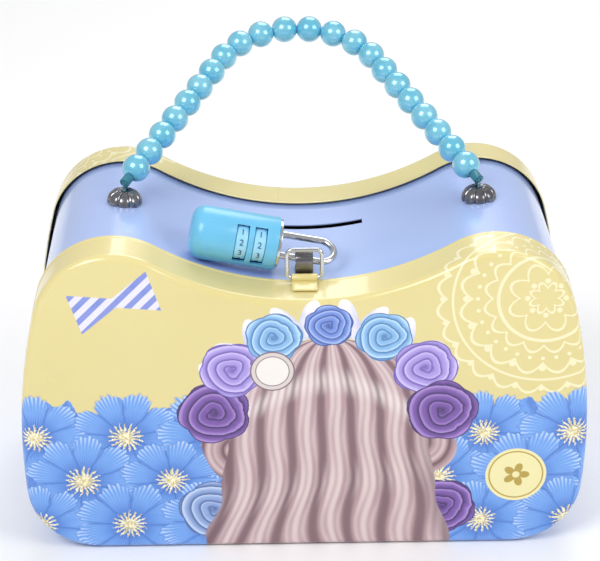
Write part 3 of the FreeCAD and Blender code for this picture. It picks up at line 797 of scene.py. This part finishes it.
def tray(name, face_y, sign, finish):
    """A pressed cover with its wall, printed outside and bare inside."""
    piece = shell(name, tray_profile(face_y, sign))
    cap_ends(piece, face_y)
    tidy(piece)
    flat = max(piece.data.polygons, key=lambda p: p.area)
    if flat.normal.y * sign > 0:
        piece.data.flip_normals()
    coat(piece, finish, "bare_tin")
    apply(piece, "SOLIDIFY", thickness=sizes().tin * MM, offset=-1.0, material_offset=1)
    return piece


HINGE = next(j for j in frame["joints"] if j["name"] == "lid_hinge")
HINGE_Y = HINGE["pos_m"][1] / MM
HINGE_Z = HINGE["pos_m"][2] / MM
HINGE_LONG = 110.0
HINGE_PARTS = 11
KNUCKLE_R = 0.85
KNUCKLE_GAP = 0.3
KNUCKLE_TIN = 0.28
NOTCH_DEEP, NOTCH_TALL = 3.6, 1.6


def knuckle_middles(first):
    """Middles of every second knuckle, and the length of each."""
    step = HINGE_LONG / HINGE_PARTS
    return [-HINGE_LONG / 2 + step * (i + 0.5) for i in range(first, HINGE_PARTS, 2)], step


def joined(pieces, name):
    deselect()
    for piece in pieces:
        piece.select_set(True)
    bpy.context.view_layer.objects.active = pieces[0]
    bpy.ops.object.join()
    pieces[0].name = name
    return pieces[0]


def boxes(name, places, scale):
    """Boxes of one size at each place, joined, for cutting."""
    made = []
    for place in places:
        deselect()
        bpy.ops.mesh.primitive_cube_add(size=1, location=Vector(place) * MM,
                                        scale=Vector(scale) * MM)
        settle(bpy.context.object)
        made.append(bpy.context.object)
    return joined(made, name)


def carve(piece, cutter):
    """Cut one piece out of another and remove the cutter."""
    apply(piece, "BOOLEAN", operation="DIFFERENCE", solver="MANIFOLD", object=cutter)
    bpy.data.objects.remove(cutter)


class MONEYBOX_OT_lid(bpy.types.Operator):
    """Press the printed lid, with its share of the hinge"""
    bl_idname = "moneybox.lid"
    bl_label = "Lid"

    def execute(self, context):
        lid = tray("lid_shell", FACE_Y, 1, "print")
        middles, step = knuckle_middles(0)
        carve(lid, boxes("notches", [(x, HINGE_Y + 0.6, 0) for x in middles],
                         (step + KNUCKLE_GAP, NOTCH_DEEP, NOTCH_TALL)))
        level(lid)
        dress(lid, "lid", "printed_tin", "front_lid")
        tubes = []
        middles, step = knuckle_middles(1)
        for x in middles:
            deselect()
            bpy.ops.mesh.primitive_cylinder_add(
                vertices=32, radius=KNUCKLE_R * MM, depth=(step - KNUCKLE_GAP) * MM,
                end_fill_type="NOTHING", location=Vector((x, HINGE_Y, HINGE_Z)) * MM,
                rotation=(0, math.pi / 2, 0))
            settle(bpy.context.object)
            tubes.append(bpy.context.object)
        roll = joined(tubes, "lid_knuckles")
        coat(roll, "bare_tin")
        apply(roll, "SOLIDIFY", thickness=KNUCKLE_TIN * MM, offset=-1.0)
        smooth(roll)
        dress(roll, "lid", "printed_tin", "front_lid")
        return {"FINISHED"}


class MONEYBOX_OT_back(bpy.types.Operator):
    """Press the printed back cover"""
    bl_idname = "moneybox.back"
    bl_label = "Back cover"

    def execute(self, context):
        back = tray("back_shell", BACK_Y, -1, "print")
        level(back)
        dress(back, "root", "printed_tin", "back_cover")
        return {"FINISHED"}


SLOT_LONG = 37.0
SLOT_WIDE = 3.0
SLOT_Y = MIDDLE_Y + 11.5


class MONEYBOX_OT_band(bpy.types.Operator):
    """Bend the blue band, with its coin slot and the holes for the handle's cord"""
    bl_idname = "moneybox.band"
    bl_label = "Band"

    def execute(self, context):
        inset = HALF_WIDTH - BAND_HIGH.x / MM
        low = BAND_LOW.z / MM
        first, last = BAND_LOW.y / MM, BAND_HIGH.y / MM
        steps = 6
        band = shell("band_strip", [(inset, low, first + (last - first) * i / steps)
                                    for i in range(steps + 1)])
        tidy(band)
        foot = min(band.data.polygons, key=lambda p: p.center.z)
        if foot.normal.z > 0:
            band.data.flip_normals()
        coat(band, "blue_enamel", "bare_tin")
        apply(band, "SOLIDIFY", thickness=sizes().tin * MM, offset=-1.0, material_offset=1)
        carve(band, self.slot_cutter())
        for side in ("left", "right"):
            carve(band, self.hole_cutter(side))
        level(band)
        dress(band, "root", "blue_tin", "body_band")
        return {"FINISHED"}

    def slot_cutter(self):
        """An upright bar with round ends."""
        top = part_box("hook_backing_plate")[1].z / MM
        bar = boxes("slot", [(0, SLOT_Y, top + 2)], (SLOT_LONG, SLOT_WIDE, 16))
        only(bar)
        bpy.ops.object.mode_set(mode="EDIT")
        bpy.ops.mesh.select_all(action="DESELECT")
        mesh = bmesh.from_edit_mesh(bar.data)
        for edge in mesh.edges:
            edge.select = abs(edge.verts[0].co.z - edge.verts[1].co.z) > 0.001
        bmesh.update_edit_mesh(bar.data)
        bpy.ops.mesh.bevel(offset=SLOT_WIDE * 0.49 * MM, segments=6)
        bpy.ops.object.mode_set(mode="OBJECT")
        return bar

    def hole_cutter(self, side):
        low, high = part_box(f"cord_washer_{side}")
        deselect()
        bpy.ops.mesh.primitive_cylinder_add(vertices=24, radius=MM, depth=8 * MM,
                                            location=(low + high) / 2)
        settle(bpy.context.object)
        return bpy.context.object


# ---- handle ----------------------------------------------------------------------

class MONEYBOX_OT_handle(bpy.types.Operator):
    """String the pearl beads and add the cord and its necks"""
    bl_idname = "moneybox.handle"
    bl_label = "Bead handle"

    def execute(self, context):
        nodes = sorted(n for n in frame["nodes"] if n.startswith("bead_"))
        centres = [sum(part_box(n), Vector()) / 2 for n in nodes]
        low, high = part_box(nodes[0])
        radius = (high.x - low.x) / 2
        master = self.one_bead(radius)
        for number, node in enumerate(nodes):
            before = centres[max(0, number - 1)]
            after = centres[min(len(nodes) - 1, number + 1)]
            turn = (after - before).to_track_quat("Z", "Y").to_matrix().to_4x4()
            bead = bpy.data.objects.new(f"pearl_{number + 1:02d}", master.data.copy())
            context.scene.collection.objects.link(bead)
            bead.data.transform(Matrix.Translation(centres[number]) @ turn)
            coat(bead, "pearl")
            dress(bead, "handle", "pearl", node)
        bpy.data.objects.remove(master)
        for node, name, finish, slot in (("handle_cord", "handle_string", "cord", "cord"),
                                         ("neck_left", "neck_sleeve_left", "neck", "neck_plastic"),
                                         ("neck_right", "neck_sleeve_right", "neck",
                                          "neck_plastic")):
            piece = refined(node, name)
            coat(piece, finish)
            dress(piece, "handle", slot, node)
        return {"FINISHED"}

    def one_bead(self, radius):
        """A ball whose two ends turn in to the bore."""
        deselect()
        bpy.ops.mesh.primitive_uv_sphere_add(segments=48, ring_count=30, radius=radius)
        ball = bpy.context.object
        mouth = 0.25
        for v in ball.data.vertices:
            out = math.hypot(v.co.x, v.co.y) / radius
            if out < mouth:
                v.co.z *= 1 - 0.30 * (1 - out / mouth) ** 1.5
        smooth(ball, 60)
        return ball


CAP_PETALS = 8
CAP_TALL = 3.55
CAP_TIN = 0.3
CAP_TILT = math.radians(5.4)


class MONEYBOX_OT_caps(bpy.types.Operator):
    """Shape the two claw caps where the handle enters the tin"""
    bl_idname = "moneybox.caps"
    bl_label = "Claw caps"

    def execute(self, context):
        for side, word in ((-1, "left"), (1, "right")):
            low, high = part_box(f"handle_cap_{word}")
            cap = self.dome((high.y - low.y) / 2 / MM, CAP_TALL)
            centre = (low + high) / 2
            foot = Vector((centre.x, centre.y, low.z + 0.5 * MM))
            lean = Euler((0, -side * CAP_TILT, 0)).to_matrix().to_4x4()
            cap.data.transform(Matrix.Translation(foot) @ lean)
            cap.name = f"claw_cap_{word}"
            tidy(cap)
            coat(cap, "claw_steel")
            apply(cap, "SOLIDIFY", thickness=CAP_TIN * MM, offset=-1.0)
            smooth(cap, 50)
            dress(cap, "root", "chrome", f"handle_cap_{word}")
        return {"FINISHED"}

    def dome(self, radius, tall):
        """A dome of pressed petals, whose tips bend down like claws at the rim."""
        rows = 18

        def point(i, j):
            turn = math.tau * i / 128
            share = j / rows
            lobe = abs(math.cos(turn * CAP_PETALS / 2))
            groove = (1 - lobe) ** 3 * math.sin(math.pi * min(1, share * 1.1)) * 0.45
            ring = 0.9 + (radius - 0.9) * math.sin(share * math.pi / 2)
            ring *= 1 - (1 - lobe) ** 2 * 0.16 * share ** 3
            height = tall * math.cos(share * math.pi / 2) ** 0.85 - groove
            height -= 0.35 * lobe * share ** 6
            raised = 0.22 * math.exp(-((share - 0.18) / 0.06) ** 2)
            return (ring * math.cos(turn), ring * math.sin(turn), height + raised)

        return sweep_grid("dome", 128, rows, point)


# ---- latch and padlock -------------------------------------------------------------

PLAIN = (
    # node, piece, body, finish, slot, eased edge
    ("latch_hook", "hook_strap", "root", "claw_steel", "chrome", 0.16),
    ("hook_rivets", "rivet_pair", "root", "zinc", "steel", 0.12),
    ("hook_backing_plate", "clench_plate", "root", "zinc", "steel", 0.1),
    ("hinge_leaf", "hinge_leaf_strip", "root", "zinc", "steel", 0.04),
    ("hinge_pin", "hinge_wire", "root", "zinc", "steel", 0.1),
    ("cord_washer_left", "washer_left", "root", "zinc", "steel", 0.1),
    ("cord_washer_right", "washer_right", "root", "zinc", "steel", 0.1),
    ("cord_knot_left", "knot_left", "root", "cord", "cord", 0.0),
    ("cord_knot_right", "knot_right", "root", "cord", "cord", 0.0),
    ("lid_bail_tab", "rolled_tab", "lid", "yellow_enamel", "yellow_tin", 0.08),
    ("latch_bail", "wire_bail", "bail", "chrome", "chrome", 0.0),
    ("lock_body", "lock_barrel", "padlock", "lock_plastic", "lock_plastic", 0.22),
    ("lock_end_cap", "lock_end_plate", "padlock", "chrome", "chrome", 0.1),
    ("lock_spindle", "lock_axle", "padlock", "zinc", "steel", 0.1),
    ("lock_shackle", "shackle_wire", "shackle", "chrome", "chrome", 0.2),
    ("lock_dial_1", "dial_ring_1", "dial_1", "dial_plastic", "dial_plastic", 0.25),
    ("lock_dial_2", "dial_ring_2", "dial_2", "dial_plastic", "dial_plastic", 0.25),
)


class MONEYBOX_OT_hardware(bpy.types.Operator):
    """Finish the latch, the hinge, the anchors inside the tin and the padlock's parts"""
    bl_idname = "moneybox.hardware"
    bl_label = "Hardware"

    def execute(self, context):
        for node, name, body, finish, slot, eased in PLAIN:
            piece = refined(node, name, eased)
            coat(piece, finish)
            dress(piece, body, slot, node)
        return {"FINISHED"}


SHOWN = 2
DIAL_RIM = 5.1


class MONEYBOX_OT_digits(bpy.types.Operator):
    """Mark each dial with the digits 0 to 9"""
    bl_idname = "moneybox.digits"
    bl_label = "Dial digits"

    def execute(self, context):
        for number in (1, 2):
            joint = next(j for j in frame["joints"] if j["name"] == f"dial_{number}_turn")
            axis = Vector(joint["axis"]).normalized()
            origin = Vector(joint["pos_m"])
            low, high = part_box(f"lock_dial_{number}")
            centre = origin + axis * ((low + high) / 2 - origin).dot(axis)
            marks = [self.digit(digit, centre, axis, (SHOWN - digit) * math.tau / 10)
                     for digit in range(10)]
            ring = joined(marks, f"dial_digits_{number}")
            coat(ring, "digit_ink")
            dress(ring, f"dial_{number}", "dial_plastic")
        return {"FINISHED"}

    def digit(self, value, centre, axis, turn):
        """One digit, lying on the dial's rim with its foot towards the next."""
        front = Vector((0, -1, 0.35))
        front = (front - axis * front.dot(axis)).normalized()
        out = Matrix.Rotation(-turn, 3, axis) @ front
        up = out.cross(axis)
        deselect()
        bpy.ops.object.text_add()
        text = bpy.context.object
        text.data.body = str(value)
        text.data.size = sizes().digit * MM
        text.data.align_x = "CENTER"
        text.data.align_y = "CENTER"
        text.data.extrude = 0.05 * MM
        bpy.ops.object.convert(target="MESH")
        text = bpy.context.object
        basis = Matrix((axis, up, out)).transposed().to_4x4()
        text.data.transform(Matrix.Translation(centre + out * DIAL_RIM * MM) @ basis)
        return text


# ---- stage -------------------------------------------------------------------------

CAMERA_AT = Vector((-13.75, -512.6, 332.0))
CAMERA_TO = Vector((-0.59, 0.0, 68.99))
CAMERA_LENS = 114.84


class MONEYBOX_OT_stage(bpy.types.Operator):
    """Lay the floor, hang the lights and set the camera"""
    bl_idname = "moneybox.stage"
    bl_label = "Stage"

    def execute(self, context):
        self.floor(context.scene.money_box_stage)
        self.sky(context.scene)
        power = context.scene.money_box_stage.key
        self.lamp("key", (-0.45, -0.55, 0.75), 0.45, power)
        self.lamp("fill", (0.60, -0.40, 0.55), 0.40, power * 0.55)
        self.lamp("rim", (0.10, 0.60, 0.70), 0.50, power * 0.6)
        self.camera(context.scene)
        context.scene.view_settings.view_transform = "Standard"
        return {"FINISHED"}

    def floor(self, settings):
        deselect()
        bpy.ops.mesh.primitive_plane_add(size=6)
        plane = bpy.context.object
        plane.name = "floor"
        kit = Kit("floor", Roughness=0.6)
        shade = kit.noise(6, 2) * 0.01
        kit.feed("Roughness", shade + 0.6)
        kit.shader.inputs["Base Color"].default_value = tuple(settings.floor)
        plane.data.materials.append(kit.material)

    def sky(self, scene):
        """Even light all round, seen as white by the camera and through clear pieces."""
        world = bpy.data.worlds.new("sky")
        scene.world = world
        world.use_nodes = True
        tree = world.node_tree
        rays = tree.nodes.new("ShaderNodeLightPath")
        seen = tree.nodes.new("ShaderNodeMath")
        seen.operation = "MAXIMUM"
        strength = tree.nodes.new("ShaderNodeMapRange")
        strength.inputs["To Min"].default_value = scene.money_box_stage.sky
        strength.inputs["To Max"].default_value = 1.0
        tree.links.new(rays.outputs["Is Camera Ray"], seen.inputs[0])
        tree.links.new(rays.outputs["Is Transmission Ray"], seen.inputs[1])
        tree.links.new(seen.outputs[0], strength.inputs["Value"])
        background = tree.nodes["Background"]
        background.inputs["Color"].default_value = (1, 1, 1, 1)
        tree.links.new(strength.outputs[0], background.inputs["Strength"])

    def lamp(self, name, at, across, power):
        light = bpy.data.lights.new(name, "AREA")
        light.energy = power
        light.size = across
        lamp = bpy.data.objects.new(name, light)
        lamp.location = at
        aim = Vector((0, MIDDLE_Y * MM, 0.06)) - Vector(at)
        lamp.rotation_euler = aim.to_track_quat("-Z", "Y").to_euler()
        bpy.context.scene.collection.objects.link(lamp)

    def camera(self, scene):
        shift = Vector((0, MIDDLE_Y, 0))
        camera = bpy.data.objects.new("camera", bpy.data.cameras.new("camera"))
        camera.data.lens = CAMERA_LENS
        camera.data.clip_start = 0.01
        camera.location = (CAMERA_AT + shift) * MM
        aim = CAMERA_TO - CAMERA_AT
        camera.rotation_euler = aim.to_track_quat("-Z", "Y").to_euler()
        scene.collection.objects.link(camera)
        scene.camera = camera


class MONEYBOX_PT_panel(bpy.types.Panel):
    """Shows a button for each step and the money box's settings"""
    bl_idname = "MONEYBOX_PT_panel"
    bl_label = "Money box"
    bl_space_type = "VIEW_3D"
    bl_region_type = "UI"
    bl_category = "Money box"

    def draw(self, context):
        layout = self.layout
        for step in STEPS:
            layout.operator(step.bl_idname)
        scene = context.scene
        for group in (scene.money_box_sizes, scene.money_box_colours, scene.money_box_stage):
            for name in group.bl_rna.properties.keys():
                if name not in ("rna_type", "name"):
                    layout.prop(group, name)


STEPS = (MONEYBOX_OT_stage, MONEYBOX_OT_lid, MONEYBOX_OT_back, MONEYBOX_OT_band,
         MONEYBOX_OT_handle, MONEYBOX_OT_caps, MONEYBOX_OT_hardware, MONEYBOX_OT_digits)
CLASSES = (MoneyBoxSizes, MoneyBoxColours, MoneyBoxStage) + STEPS + (MONEYBOX_PT_panel,)


def register():
    for cls in CLASSES:
        bpy.utils.register_class(cls)
    bpy.types.Scene.money_box_sizes = bpy.props.PointerProperty(type=MoneyBoxSizes)
    bpy.types.Scene.money_box_colours = bpy.props.PointerProperty(type=MoneyBoxColours)
    bpy.types.Scene.money_box_stage = bpy.props.PointerProperty(type=MoneyBoxStage)


def unregister():
    del bpy.types.Scene.money_box_sizes
    del bpy.types.Scene.money_box_colours
    del bpy.types.Scene.money_box_stage
    for cls in reversed(CLASSES):
        bpy.utils.unregister_class(cls)


def main():
    register()
    for step in STEPS:
        group, name = step.bl_idname.split(".")
        getattr(getattr(bpy.ops, group), name)()


if __name__ == "__main__":
    main()
